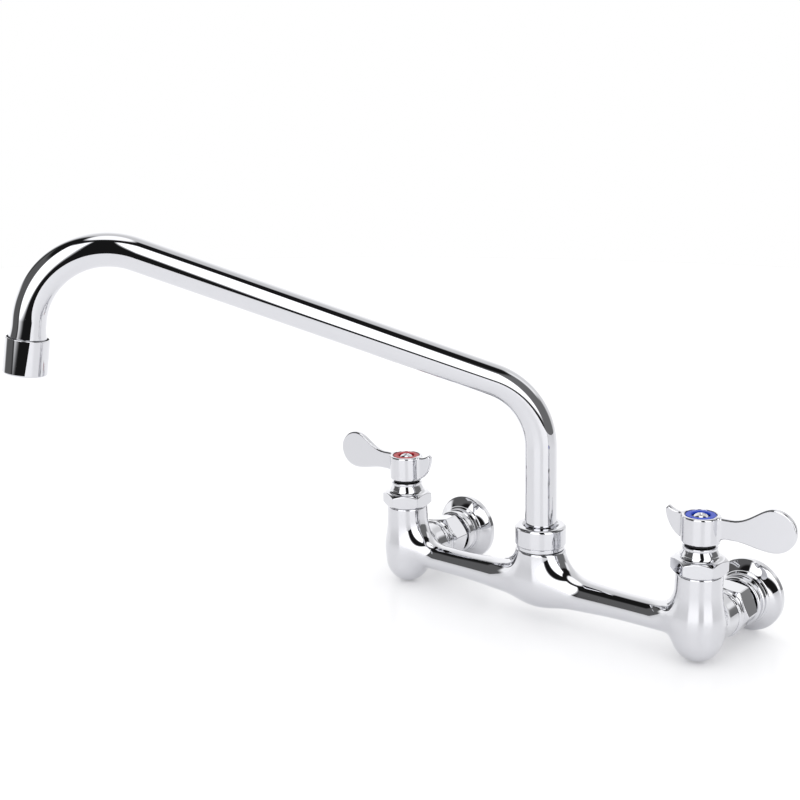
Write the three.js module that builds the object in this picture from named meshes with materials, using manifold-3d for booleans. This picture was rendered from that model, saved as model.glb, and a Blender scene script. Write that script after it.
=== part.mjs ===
// Commercial wall faucet: 8 inch centres, 12 inch swing spout, two lever handles
// on quarter-turn ceramic valves. Millimetres, +Z up, +Y into the wall.
// The origin is on the wall plane, midway between the two inlets, at their height.
import * as THREE from 'three';
import { mergeVertices } from 'three/addons/utils/BufferGeometryUtils.js';
import Module from 'manifold-3d';

const wasm = await Module();
wasm.setup();

// ---------------------------------------------------------------- driving dimensions
const gap = 0.3; // clearance kept between touching pieces
const edge = 0.8; // chamfer on turned edges
const past = 1; // joined and cutting solids run past a face by this much
const hexEase = 0.6; // rise over run of the cone that eases a hexagon's corners
const inletCentres = 203.2; // hot inlet axis to cold inlet axis, 8 in

// cast body
const castCell = 6.4; // mesh size of the cast surface where it curves
const castStride = 13; // and where it runs straight
const towerTop = 32.6;
const towerTopRadius = 12.5;
const towerBaseRadius = 13.6;
const towerBottom = -18.1;
const towerBlend = 16.2; // width of the melt between tower and arm, above the arm
const towerBlendUnder = 6.2; // and under it
const armHeight = 1.8; // arm axis above the inlet axis
const armRadius = 8.1;
const armHubRadius = 10.8;
const armFlare = 61; // the arm widens from here to the hub
const armBore = 4.4; // radius of the waterway
const hubTop = 24.9;
const hubRadius = 13.8;
const hubBaseRadius = 8.5;
const hubBottom = -4;
const hubBlend = 24.8;
const hubBlendUnder = 18.6;
const blendHalfHeight = 8; // the blends change from one width to the other over twice this
const bossRadius = 12.9;
const bossDraft = 0.6; // the boss narrows by this much towards the valve
const bossBlend = 5;
const bossLip = 0.9; // the rim of the boss stands out by this much
const bossLipWidth = 2.6;
const bossReach = 28; // valve axis to the face of the inlet boss
const crossPassage = 3.0; // radius of the passage from a valve chamber to its arm
const passageShort = 3.5; // the arm's waterway stops this far short of the chamber
const passageRise = 6.5; // the passage enters the chamber this far above the seat

// valve chamber and cartridge
const seatHeight = 7;
const cartridgeRadius = 9.2;
const portRadius = 5.4; // inlet waterway and the port under the discs
const portDepth = 12; // lower chamber under the seat
const skirtRadius = 10.5; // bonnet nut's skirt and the cartridge flange under it
const mouthDepth = 8.6;
const sealHeight = 2.0;
const discHeight = 2.5;
const discRadius = 7.4;
const discPort = 1.8; // radius of the discs' ports
const cartridgeFlange = 2.0;
const cartridgeNeck = 7.2;
const cartridgeNeckTop = 44.7;
const windowHeight = 4.2;
const windowWidth = 7.0;
const stemRadius = 4.4;
const stemDriveHeight = 2.4;
const tongueWidth = 2.6;
const tongueDepth = 0.9;
const stemRingShare = 0.62; // place of the stem's O-ring between its drive and the neck's top
const ringSection = 0.55; // section radius of every O-ring
const ringGroove = 1.4; // depth of the O-ring grooves

// bonnet nut
const bonnetFlats = 27;
const bonnetHexHeight = 8.4;
const bonnetFillet = 2.6; // between the hexagon's top and the bell above it
const bonnetBellRadius = 10.5; // above the fillet
const bonnetBellTop = 46.2;
const bonnetNeckRadius = 9.6;
const bonnetNeckGroove = 0.4; // width and depth of the groove under the neck ring
const bonnetTop = 48.1;
const bonnetMouth = 6.0;
const dustSealRadius = 8.2;
const dustSealHeight = 1.3;

// lever handle
const handleRadius = 10.4;
const handleHeight = 15.1;
const bladeThickness = 3.4;
const bladeLength = 51.9; // hub axis to the end of the blade
const lobeHalfLength = 12.2;
const lobeHalfHeight = 11.75;
const lobeHeight = 12.9; // lobe centre above the bottom of the hub
const neckTop = 15.0; // top edge of the blade's neck above the bottom of the hub
const neckBottom = 3.85;
const neckFillet = 4.5; // under the neck, where it meets the hub
const tailReach = 19.7;
const tailRise = 17.5; // tip of the tail above the bottom of the hub
const tailTip = 1.6; // the tip is blunt by this much
const splineRadius = 4.0;
const splineLength = 9.0;
const splineTooth = 0.5; // radius of the bars that cut the splines
const indexRadius = 8.2;
const indexBore = 4.9;
const indexThickness = 1.5;
const indexProud = 0.25; // the ring stands this much above the hub
const screwHeadRadius = 4.4;
const screwHeadHeight = 2.9;
const screwRim = 1; // height of the head's straight rim under its dome
const screwProud = 0.3; // the dome stands this much above the index ring
const screwSlot = 1.1;
const screwSlotLength = 5.2;
const screwSlotDepth = 1.2;
const screwRadius = 2.0;
const screwLength = 9;

// inlet fittings, measured from the wall plane towards the room
const flangeRadius = 21.4;
const flangeEdge = 3.6;
const flangeRim = 1.2; // rounding of the flange's edge
const flangeDepth = 8.5; // wall to the inner edge of the hollow dish
const flangeStep = 15.5; // radius of that edge
const beadRadius = 14.4;
const beadStep = 0.9; // dish to bead, and the groove in the bead
const beadLength = 2.9; // of the bead's part behind the groove
const beadFrontLength = 4.6; // and of its part before it
const beadRound = 1.4;
const beadToNut = 2.2;
const tailRadius = 9.0;
const tailBore = 6.0;
const tailCollarRadius = 11.2;
const tailCollar = 2.6;
const socketRadius = 9.5; // 1/2 in pipe socket
const socketDepth = 15;
const nutFlats = 26;
const nutHexLength = 13;
const nutNoseLength = 3.4;
const nutNoseRadius = 13.3;
const nutLip = 2.7;
const spigotThread = 11.3; // radius of the threaded end of the boss
const spigotThreadLength = 7.6;
const washerHeight = 1.7;

// spout
const tubeRadius = 9.3; // about 3/4 in tube
const tubeWall = 1.2;
const spoutSwing = 47.5; // plan angle of the spout from -X towards the room
const spoutSlope = 22.0; // rise of the arm
const armMeetsRiser = 116.3; // height where the arm's axis would meet the riser's
const riserBend = 45.1; // bend radii on the tube's axis
const tipBend = 42.8;
const armLength = 208.7; // straight between the bends
const tipTilt = 9.3; // the tip leans this far outward
const tipStraight = 9.7;
const flareRadius = 10.3;
const flareLength = 8.0;
const sleeveRadius = 11.6;
const sleeveLength = 19.9;
const sleeveWall = 0.8;
const sleeveLip = 1.3;
const sleeveMouth = 9.6;
const threadLength = 7.5; // of the outlet inside the sleeve
const aeratorWasher = 1.4;
const screenThickness = 0.8;
const insertRecess = 1.4;
const spigotRadius = 8.3;
const spigotBore = 5.6;
const spigotBottom = 8.5;
const spigotTop = 46.0;
const spigotRingShares = [0.22, 0.62]; // places of its O-rings up the socket in the hub
const hubNeckRadius = 12.2; // male thread under the spout nut
const hubNeckTop = 32.6;
const spoutNutRadius = 14.85;
const spoutNutSkirt = 14.0;
const spoutNutGroove = 2.6; // height of the skirt band
const spoutNutTop = 39.6;
const spoutNutShoulder = 2.5; // radius of its rounded top edge
const spoutNutLip = 1.4; // the countersink at the tube is this wide and deep
const glideWasher = 1.0;
const clipThickness = 1.0;
const clipRadius = 11.9;
const clipOpening = 4;

// how finely round pieces are faceted
const smooth = 18;
const medium = 12;
const coarse = 10;
const arcSteps = 3;

// ---------------------------------------------------------------- materials
const finish = (color, metalness, roughness) =>
  new THREE.MeshStandardMaterial({ color, metalness, roughness });
const chrome = finish(0xd9dbe0, 1, 0.08);
const brass = finish(0xb98d4a, 0.9, 0.35);
const ceramic = finish(0xece9e2, 0, 0.3);
const rubber = finish(0x17181a, 0, 0.8);
const nylon = finish(0xe8e4da, 0, 0.5);
const steel = finish(0xb9bcc0, 1, 0.3);
const hotRed = finish(0xc3202b, 0, 0.35);
const coldBlue = finish(0x2b4fb5, 0, 0.35);

// ---------------------------------------------------------------- geometry helpers
const mix = (a, b, t) => a + (b - a) * t;

// The corner radius of a faceted hole whose flats clear a round pin by the gap.
const clear = (pin, sides = medium) => (pin + gap) / Math.cos(Math.PI / sides);

const sub = (a, ...cuts) => cuts.reduce((whole, cut) => whole.subtract(cut), a);
const add = (a, ...more) => more.reduce((whole, piece) => whole.add(piece), a);

// A closed geometry as a solid: corners shared, slivers dropped, faces turned outward.
function solid(geometry) {
  const bare = geometry.clone();
  for (const name of Object.keys(bare.attributes)) {
    if (name !== 'position') bare.deleteAttribute(name);
  }
  const merged = mergeVertices(bare, 1e-4);
  const position = merged.attributes.position;
  const index = merged.index.array;
  const corner = [0, 1, 2].map(() => new THREE.Vector3());
  const triangles = [];
  let volume = 0;
  for (let i = 0; i < index.length; i += 3) {
    const [a, b, c] = [index[i], index[i + 1], index[i + 2]];
    if (a === b || b === c || c === a) continue;
    triangles.push([a, b, c]);
    [a, b, c].forEach((k, n) => corner[n].fromBufferAttribute(position, k));
    volume += corner[0].dot(corner[1].cross(corner[2]));
  }
  const turned = volume < 0 ? triangles.map(([a, b, c]) => [a, c, b]) : triangles;
  return new wasm.Manifold(new wasm.Mesh({
    numProp: 3,
    vertProperties: new Float32Array(position.array),
    triVerts: new Uint32Array(turned.flat()),
  }));
}

function toGeometry(manifold) {
  const { vertProperties, triVerts } = manifold.getMesh();
  const geometry = new THREE.BufferGeometry();
  geometry.setAttribute('position', new THREE.BufferAttribute(new Float32Array(vertProperties), 3));
  geometry.setIndex(new THREE.BufferAttribute(new Uint32Array(triVerts), 1));
  geometry.computeVertexNormals();
  return geometry;
}

// A profile of [radius, height] pairs turned about Z. It starts and ends on the axis,
// or is closed on itself here.
function turn(profile, segments = medium) {
  const points = profile.map(([r, z]) => new THREE.Vector2(r, z));
  if (profile[0][0] > 0) points.push(points[0].clone());
  return solid(new THREE.LatheGeometry(points, segments).rotateX(Math.PI / 2));
}

// A quarter of an ellipse between two profile points. It leaves the first one along the axis,
// or, if it starts flat, along the radius.
function quarter([r0, z0], [r1, z1], startsFlat = false) {
  const points = [];
  for (let i = 0; i <= arcSteps; i++) {
    const angle = (i / arcSteps) * (Math.PI / 2);
    const [c, s] = [Math.cos(angle), Math.sin(angle)];
    points.push(startsFlat ? [mix(r0, r1, s), mix(z1, z0, c)] : [mix(r1, r0, c), mix(z0, z1, s)]);
  }
  return points;
}

const disc = (radius, bottom, top, segments = medium) =>
  turn([[0, bottom], [radius, bottom], [radius, top], [0, top]], segments);

const ring = (inner, outer, bottom, top, segments = medium) =>
  turn([[inner, bottom], [outer, bottom], [outer, top], [inner, top]], segments);

// An O-ring of the common section, seated mid-way in a groove of the given floor.
function oRing(grooveFloor, height) {
  const centre = grooveFloor + gap + ringSection;
  const profile = [];
  const sides = 5;
  for (let i = 0; i < sides; i++) {
    const angle = (i / sides) * 2 * Math.PI;
    profile.push([centre + ringSection * Math.cos(angle), height + ringSection * Math.sin(angle)]);
  }
  return turn(profile);
}

// A round bar between two points.
function bar(radius, from, to, segments = coarse) {
  const start = new THREE.Vector3(...from);
  const axis = new THREE.Vector3(...to).sub(start);
  const length = axis.length();
  const up = new THREE.Vector3(0, 0, 1);
  const place = new THREE.Quaternion().setFromUnitVectors(up, axis.normalize());
  const rod = new THREE.CylinderGeometry(radius, radius, length, segments);
  rod.rotateX(Math.PI / 2).translate(0, 0, length / 2);
  return solid(rod.applyQuaternion(place).translate(start.x, start.y, start.z));
}

const block = (x, y, z, cx, cy, cz) => solid(new THREE.BoxGeometry(x, y, z).translate(cx, cy, cz));

// A hexagonal bar across the given flats, its corners eased by a cone at both ends.
function hexBar(flats, bottom, top) {
  const corner = flats / Math.sqrt(3);
  const face = flats / 2 - gap;
  const ease = (corner + gap - face) * hexEase;
  const hex = new THREE.CylinderGeometry(corner, corner, top - bottom, 6);
  hex.rotateX(Math.PI / 2).rotateZ(Math.PI / 6).translate(0, 0, (bottom + top) / 2);
  const barrel = turn([
    [0, bottom], [face, bottom], [corner + gap, bottom + ease],
    [corner + gap, top - ease], [face, top], [0, top],
  ], smooth);
  return solid(hex).intersect(barrel);
}

// ---------------------------------------------------------------- cast surface
// The casting is the zero surface of a distance field: round cones that melt together.
function melt(a, b, width) {
  const t = THREE.MathUtils.clamp(0.5 + (0.5 * (b - a)) / width, 0, 1);
  return mix(b, a, t) - width * t * (1 - t);
}

// Distance to a cone with ball ends: along is measured on its axis, off is beside it.
function roundCone(off, along, length, startRadius, endRadius) {
  const lean = (startRadius - endRadius) / length;
  const upright = Math.sqrt(1 - lean * lean);
  const side = -lean * off + upright * along;
  if (side < 0) return Math.hypot(off, along) - startRadius;
  if (side > upright * length) return Math.hypot(off, along - length) - endRadius;
  return upright * off + lean * along - startRadius;
}

const halfCentres = inletCentres / 2;
const castOver = 6; // the cast surface runs on past each machined face by this much

function castField(x, y, z) {
  const { smoothstep } = THREE.MathUtils;
  const fromValve = Math.abs(x) - halfCentres;
  const towerFoot = towerBottom + towerBaseRadius;
  const tower = roundCone(Math.hypot(fromValve, y), z - towerFoot,
    towerTop + castOver - towerFoot, towerBaseRadius, towerTopRadius);
  const fromArm = Math.hypot(y, z - armHeight, Math.max(fromValve, 0));
  const arm = fromArm - mix(armHubRadius, armRadius, smoothstep(Math.abs(x), 0, armFlare));
  const hubFoot = hubBottom + hubBaseRadius;
  const hub = roundCone(Math.hypot(x, y), z - hubFoot, hubTop + castOver - hubFoot,
    hubBaseRadius, hubRadius);
  const boss = roundCone(Math.hypot(fromValve, z), y, bossReach + castOver,
    bossRadius - bossDraft, bossRadius);
  const above = smoothstep(z, armHeight - blendHalfHeight, armHeight + blendHalfHeight);
  const bridge = melt(arm, hub, mix(hubBlendUnder, hubBlend, above));
  const towers = melt(bridge, tower, mix(towerBlendUnder, towerBlend, above));
  return melt(towers, boss, bossBlend);
}

// Grid lines from the first place to the last, each stretch divided into cells of its size.
function gridLines(first, ...stretches) {
  const lines = [first];
  for (const [end, cell] of stretches) {
    const start = lines.at(-1);
    const count = Math.ceil((end - start) / cell);
    for (let i = 1; i <= count; i++) lines.push(mix(start, end, i / count));
  }
  return lines;
}

// Surface nets: one corner per grid cell that the surface crosses, moved onto the surface.
function netSurface(field, lines) {
  const count = lines.map((places) => places.length);
  const at = (i, j, k) => (k * count[1] + j) * count[0] + i;
  const value = new Float64Array(count[0] * count[1] * count[2]);
  for (let k = 0; k < count[2]; k++) {
    for (let j = 0; j < count[1]; j++) {
      for (let i = 0; i < count[0]; i++) {
        value[at(i, j, k)] = field(lines[0][i], lines[1][j], lines[2][k]);
      }
    }
  }
  const positions = [];
  const cornerOf = new Map();
  const step = 1e-3;
  const ontoSurface = (p) => {
    for (let pass = 0; pass < 3; pass++) {
      const d = field(...p);
      const slope = [0, 1, 2].map((k) => {
        const q = [...p];
        q[k] += step;
        return (field(...q) - d) / step;
      });
      const steep = slope.reduce((sum, s) => sum + s * s, 0);
      p = p.map((v, k) => v - (d * slope[k]) / steep);
    }
    return p;
  };
  for (let k = 0; k < count[2] - 1; k++) {
    for (let j = 0; j < count[1] - 1; j++) {
      for (let i = 0; i < count[0] - 1; i++) {
        const sum = [0, 0, 0];
        let crossings = 0;
        for (let axis = 0; axis < 3; axis++) {
          for (let n = 0; n < 4; n++) {
            const a = [i, j, k];
            a[(axis + 1) % 3] += n & 1;
            a[(axis + 2) % 3] += n >> 1;
            const b = [...a];
            b[axis] += 1;
            const va = value[at(...a)];
            const vb = value[at(...b)];
            if (va < 0 === vb < 0) continue;
            for (let m = 0; m < 3; m++) {
              sum[m] += mix(lines[m][a[m]], lines[m][b[m]], va / (va - vb));
            }
            crossings += 1;
          }
        }
        if (!crossings) continue;
        cornerOf.set(at(i, j, k), positions.length);
        positions.push(ontoSurface(sum.map((s) => s / crossings)));
      }
    }
  }
  const index = [];
  for (let axis = 0; axis < 3; axis++) {
    const u = (axis + 1) % 3;
    const v = (axis + 2) % 3;
    for (let k = 1; k < count[2] - 1; k++) {
      for (let j = 1; j < count[1] - 1; j++) {
        for (let i = 1; i < count[0] - 1; i++) {
          const a = [i, j, k];
          const b = [...a];
          b[axis] += 1;
          const inside = value[at(...a)] < 0;
          if (inside === value[at(...b)] < 0) continue;
          const quad = [[0, 0], [1, 0], [1, 1], [0, 1]].map(([du, dv]) => {
            const c = [...a];
            c[u] -= du;
            c[v] -= dv;
            return cornerOf.get(at(...c));
          });
          const [p, q, r, s] = inside ? quad : quad.reverse();
          index.push(p, q, r, p, r, s);
        }
      }
    }
  }
  const geometry = new THREE.BufferGeometry();
  geometry.setAttribute('position', new THREE.Float32BufferAttribute(positions.flat(), 3));
  geometry.setIndex(index);
  return geometry;
}

// ---------------------------------------------------------------- levels shared by pieces
const mouthFloor = towerTop - mouthDepth;
const sealBottom = seatHeight + gap;
const fixedDiscBottom = sealBottom + sealHeight + gap;
const rotorDiscBottom = fixedDiscBottom + discHeight + gap;
const rotorDiscTop = rotorDiscBottom + discHeight;
const driveBottom = rotorDiscTop + gap;
const driveTop = driveBottom + stemDriveHeight;
const chamberRadius = clear(cartridgeRadius);
const mouthRadius = clear(skirtRadius);
const cartridgeBore = clear(discRadius);
const flangeBottom = mouthFloor + gap;
const cartridgeFlangeTop = flangeBottom + cartridgeFlange;
const stemRingHeight = mix(driveTop, cartridgeNeckTop, stemRingShare);
const stemBore = clear(stemRadius);
const bonnetSkirtBottom = cartridgeFlangeTop + gap;
const bonnetHexBottom = towerTop + gap;
const bonnetHexTop = bonnetHexBottom + bonnetHexHeight;
const dustSealBottom = bonnetTop + gap;
const handleBottom = dustSealBottom + dustSealHeight + gap;
const handleTop = handleBottom + handleHeight;
const splineBottom = handleBottom - gap;
const splineTop = splineBottom + splineLength;
const indexTop = handleTop + indexProud;
const indexBottom = indexTop - indexThickness;
const screwHeadTop = indexTop + screwProud;
const screwHeadBottom = screwHeadTop - screwHeadHeight;
// the inlet fittings stand one before the other, out from the wall plane
const beadGroove = flangeDepth + beadLength;
const beadFront = beadGroove + 2 * beadStep + beadFrontLength;
const nutBack = beadFront + beadToNut;
const nutHexFront = nutBack + nutHexLength;
const nutFront = nutHexFront + nutNoseLength;
const bossFace = nutFront + gap;
const standoff = bossFace + bossReach; // wall plane to the valve and spout axes
const spigotEnd = bossFace - spigotThreadLength;
const washerFront = spigotEnd - gap;
const collarFront = washerFront - washerHeight - gap;
const collarBack = collarFront - tailCollar;
const washerTop = hubNeckTop + gap + glideWasher;
const clipBottom = washerTop + gap;
const spoutNutCeiling = clipBottom + clipThickness + gap;
const tubeBottom = spoutNutCeiling + 2 * gap;
const spigotRings = spigotRingShares.map((share) => mix(spigotBottom, hubTop, share));

// ---------------------------------------------------------------- cast body
function makeBody() {
  const margin = 2 * castCell;
  const reachX = halfCentres + towerBaseRadius + margin;
  const armOuter = halfCentres - towerBaseRadius - towerBlend;
  const armInner = hubRadius + hubBlendUnder;
  const across = gridLines(-reachX, [-armOuter, castCell], [-armInner, castStride],
    [armInner, castCell], [armOuter, castStride], [reachX, castCell]);
  const depth = gridLines(-towerBaseRadius - margin, [towerBaseRadius + bossBlend / 2, castCell],
    [bossReach + castOver + bossRadius + margin, castStride]);
  const height = gridLines(towerBottom - margin, [armHeight + armRadius + towerBlend, castCell],
    [towerTop + castOver + towerTopRadius + margin, castStride]);
  let body = solid(netSurface(castField, [across, depth, height]));
  const beyond = 60;
  const hubReach = halfCentres - 2 * towerTopRadius;
  body = sub(body, block(4 * reachX, beyond, 4 * beyond, 0, bossReach + beyond / 2, 0),
    block(2 * hubReach, beyond, beyond, 0, 0, hubTop + beyond / 2));
  for (const side of [-1, 1]) {
    const x = side * halfCentres;
    body = sub(body, block(beyond, beyond, beyond, x, 0, towerTop + beyond / 2));
    const lip = disc(bossRadius + bossLip, 0, bossLipWidth, smooth);
    const thread = disc(spigotThread, -past, spigotThreadLength);
    const faced = lip.rotate([-90, 0, 0]).translate([x, bossReach - bossLipWidth, 0]);
    body = add(body, faced, thread.rotate([-90, 0, 0]).translate([x, bossReach, 0]));
  }
  body = add(body, disc(hubNeckRadius, hubTop - past, hubNeckTop, smooth));
  // spout socket, the two arms' waterways and each valve chamber
  body = sub(body, disc(clear(spigotRadius), spigotBottom - past, hubNeckTop + past),
    disc(spigotBore, armHeight, spigotBottom));
  for (const side of [-1, 1]) {
    const x = side * halfCentres;
    const armEnd = side * (halfCentres - chamberRadius - passageShort);
    const chamber = disc(chamberRadius, seatHeight, towerTop + past);
    const mouth = disc(mouthRadius, mouthFloor, towerTop + past);
    const port = disc(portRadius, seatHeight - portDepth, seatHeight + past);
    body = sub(body, bar(armBore, [0, 0, armHeight], [armEnd, 0, armHeight]));
    const rise = [side * (halfCentres - chamberRadius + past), 0, seatHeight + passageRise];
    body = sub(body, bar(crossPassage, [armEnd - side * past, 0, armHeight], rise));
    body = sub(body, ...[chamber, mouth, port].map((hole) => hole.translate([x, 0, 0])));
    body = sub(body, bar(portRadius, [x, 0, 0], [x, bossReach + spigotThreadLength + past, 0]));
  }
  return body;
}

// ---------------------------------------------------------------- inlet fittings
// Turned about an axis whose zero is the wall plane and whose plus side is the room.
function makeFlange() {
  const whole = turn([
    [0, 0], [flangeRadius, 0], [flangeRadius, flangeEdge - flangeRim],
    ...quarter([flangeRadius - flangeRim, flangeEdge], [flangeStep, flangeDepth], true),
    [beadRadius, flangeDepth + beadStep], [beadRadius, beadGroove],
    [beadRadius - beadStep, beadGroove + beadStep], [beadRadius, beadGroove + 2 * beadStep],
    [beadRadius, beadFront - beadRound], [beadRadius - beadRound, beadFront], [tailRadius, beadFront],
    [tailRadius, collarBack], [tailCollarRadius, collarBack],
    [tailCollarRadius, collarFront], [0, collarFront],
  ], smooth);
  return sub(whole, disc(socketRadius, -past, socketDepth),
    disc(tailBore, socketDepth - past, collarFront + past));
}

function makeCouplingNut() {
  const hex = hexBar(nutFlats, nutBack, nutHexFront);
  const nose = turn([
    [0, nutHexFront - past], [nutNoseRadius, nutHexFront - past],
    [nutNoseRadius, nutFront - edge], [nutNoseRadius - edge, nutFront], [0, nutFront],
  ], smooth);
  return sub(add(hex, nose), disc(clear(spigotThread), nutBack + nutLip, nutFront + past),
    disc(clear(tailRadius), nutBack - past, nutBack + nutLip + past));
}

const makeInletWasher = () =>
  ring(tailBore, spigotThread - gap, washerFront - washerHeight, washerFront, coarse);

// ---------------------------------------------------------------- valve cartridge
const makeSeatSeal = () =>
  ring(portRadius + gap, cartridgeRadius - gap, sealBottom, sealBottom + sealHeight, coarse);

// Both discs have a pair of opposite ports; the upper one turns to open them.
function discPorts(bottom) {
  const port = (side) => bar(discPort, [side * discRadius / 2, 0, bottom - past],
    [side * discRadius / 2, 0, bottom + discHeight + past]);
  return [port(-1), port(1)];
}

const makeFixedDisc = () =>
  sub(disc(discRadius, fixedDiscBottom, fixedDiscBottom + discHeight), ...discPorts(fixedDiscBottom));

function makeRotorDisc() {
  const plate = disc(discRadius, rotorDiscBottom, rotorDiscTop);
  const slotFloor = driveBottom - tongueDepth - gap;
  const slotDepth = 2 * tongueDepth;
  const slot = block(tongueWidth + 2 * gap, 3 * discRadius, slotDepth, 0, 0, slotFloor + slotDepth / 2);
  return sub(plate, slot, ...discPorts(rotorDiscBottom));
}

function makeCartridge() {
  const shell = turn([
    [cartridgeBore, fixedDiscBottom], [cartridgeRadius, fixedDiscBottom],
    [cartridgeRadius, flangeBottom], [skirtRadius, flangeBottom],
    [skirtRadius, cartridgeFlangeTop], [cartridgeNeck, cartridgeFlangeTop],
    [cartridgeNeck, cartridgeNeckTop], [stemBore, cartridgeNeckTop],
    [stemBore, driveTop + gap], [cartridgeBore, driveTop + gap],
  ]);
  const middle = driveBottom - gap + windowHeight / 2;
  const window = block(windowWidth, 4 * chamberRadius, windowHeight, 0, 0, middle);
  const across = block(4 * chamberRadius, windowWidth, windowHeight, 0, 0, middle);
  return sub(shell, window, across);
}

function makeStem() {
  const floor = stemRadius - ringGroove;
  const half = ringSection + gap;
  const shaft = turn([
    [0, driveBottom], [discRadius, driveBottom], [discRadius, driveTop],
    [stemRadius, driveTop], [stemRadius, stemRingHeight - half], [floor, stemRingHeight - half],
    [floor, stemRingHeight + half], [stemRadius, stemRingHeight + half],
    [stemRadius, splineBottom - gap], [splineRadius, splineBottom - gap],
    [splineRadius, splineTop], [0, splineTop],
  ]);
  const tongue = block(tongueWidth, 2 * (discRadius - gap), 2 * tongueDepth, 0, 0, driveBottom);
  const tapped = disc(clear(screwRadius, coarse), screwHeadBottom - screwLength - past,
    splineTop + past, coarse);
  const teeth = [];
  const toothCount = 8;
  for (let i = 0; i < toothCount; i++) {
    const angle = (i / toothCount) * 2 * Math.PI;
    const reach = splineRadius + splineTooth / 2;
    const [x, y] = [reach * Math.cos(angle), reach * Math.sin(angle)];
    teeth.push(bar(splineTooth, [x, y, splineBottom], [x, y, splineTop + past], 3));
  }
  return sub(add(shaft, tongue), tapped, ...teeth);
}

const makeStemRing = () => oRing(stemRadius - ringGroove, stemRingHeight);

function makeBonnet() {
  const hex = hexBar(bonnetFlats, bonnetHexBottom, bonnetHexTop);
  const flare = bonnetBellRadius + bonnetFillet;
  const collar = turn([
    [0, bonnetSkirtBottom], [skirtRadius, bonnetSkirtBottom],
    [skirtRadius, bonnetHexTop - past], [flare, bonnetHexTop - past],
    ...quarter([flare, bonnetHexTop], [bonnetBellRadius, bonnetHexTop + bonnetFillet], true),
    [bonnetNeckRadius - bonnetNeckGroove, bonnetBellTop],
    [bonnetNeckRadius - bonnetNeckGroove, bonnetBellTop + bonnetNeckGroove],
    [bonnetNeckRadius, bonnetBellTop + bonnetNeckGroove],
    [bonnetNeckRadius, bonnetTop], [0, bonnetTop],
  ], smooth);
  return sub(add(hex, collar),
    disc(clear(cartridgeNeck), bonnetSkirtBottom - past, cartridgeNeckTop + gap),
    disc(bonnetMouth, cartridgeNeckTop - past, bonnetTop + past));
}

const makeDustSeal = () =>
  ring(stemBore, dustSealRadius, dustSealBottom, dustSealBottom + dustSealHeight);

// ---------------------------------------------------------------- lever handle
// The blade's outline in its own plane: x runs out along the blade, y up from the hub's bottom.
function bladeOutline() {
  const lobe = bladeLength - lobeHalfLength;
  const lobeTop = lobeHeight + lobeHalfHeight;
  const lobeBottom = lobeHeight - lobeHalfHeight;
  const foot = gap;
  const outline = new THREE.Shape();
  outline.moveTo(0, neckTop);
  outline.lineTo(lobe * 0.42, neckTop);
  outline.bezierCurveTo(lobe * 0.68, neckTop, lobe * 0.82, lobeTop, lobe, lobeTop);
  outline.absellipse(lobe, lobeHeight, lobeHalfLength, lobeHalfHeight,
    Math.PI / 2, -Math.PI / 2, true, 0);
  outline.bezierCurveTo(lobe * 0.8, lobeBottom, lobe * 0.64, neckBottom, lobe * 0.5, neckBottom);
  outline.lineTo(handleRadius + neckFillet, neckBottom);
  outline.quadraticCurveTo(handleRadius + edge, neckBottom, handleRadius - edge, foot);
  outline.lineTo(-handleRadius + edge, foot);
  outline.bezierCurveTo(-tailReach * 0.8, neckBottom - tailTip, -tailReach, tailRise * 0.57,
    -tailReach, tailRise - tailTip);
  outline.lineTo(-tailReach + tailTip, tailRise);
  outline.quadraticCurveTo(-tailReach * 0.76, neckTop, -tailReach * 0.56, neckTop);
  outline.closePath();
  return outline;
}

function makeHandle() {
  const plate = new THREE.ExtrudeGeometry(bladeOutline(), {
    depth: bladeThickness - 2 * edge, bevelThickness: edge, bevelSize: edge,
    bevelOffset: -edge, bevelSegments: 1, curveSegments: 4,
  });
  plate.translate(0, 0, -bladeThickness / 2 + edge).rotateX(Math.PI / 2);
  plate.translate(0, 0, handleBottom);
  const hub = turn([
    [0, handleBottom], [handleRadius - edge, handleBottom], [handleRadius, handleBottom + edge],
    [handleRadius, handleTop - edge], [handleRadius - edge, handleTop], [0, handleTop],
  ], smooth);
  const recess = disc(clear(indexRadius, smooth), indexBottom - gap, handleBottom + tailRise, smooth);
  const pocket = disc(clear(screwHeadRadius), screwHeadBottom - gap, handleTop);
  const socket = disc(clear(splineRadius), handleBottom - past, splineTop + gap);
  const drilled = disc(clear(screwRadius, coarse), splineTop, screwHeadBottom, coarse);
  return sub(add(solid(plate), hub), recess, pocket, socket, drilled);
}

const makeIndexRing = () =>
  turn([
    [indexBore, indexBottom], [indexRadius, indexBottom], [indexRadius, indexTop - indexProud],
    [indexRadius - indexProud, indexTop], [indexBore, indexTop],
  ], smooth);

function makeScrew() {
  const dome = quarter([screwHeadRadius, screwHeadBottom + screwRim], [0, screwHeadTop]);
  const screw = turn([
    [0, screwHeadBottom - screwLength], [screwRadius, screwHeadBottom - screwLength],
    [screwRadius, screwHeadBottom], [screwHeadRadius, screwHeadBottom],
    ...dome.slice(0, -1), [0, screwHeadTop],
  ]);
  const slot = block(screwSlot, screwSlotLength, 2 * screwSlotDepth, 0, 0, screwHeadTop);
  const cross = block(screwSlotLength, screwSlot, 2 * screwSlotDepth, 0, 0, screwHeadTop);
  return sub(screw, slot, cross);
}

// ---------------------------------------------------------------- spout
const radians = THREE.MathUtils.degToRad;

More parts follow.
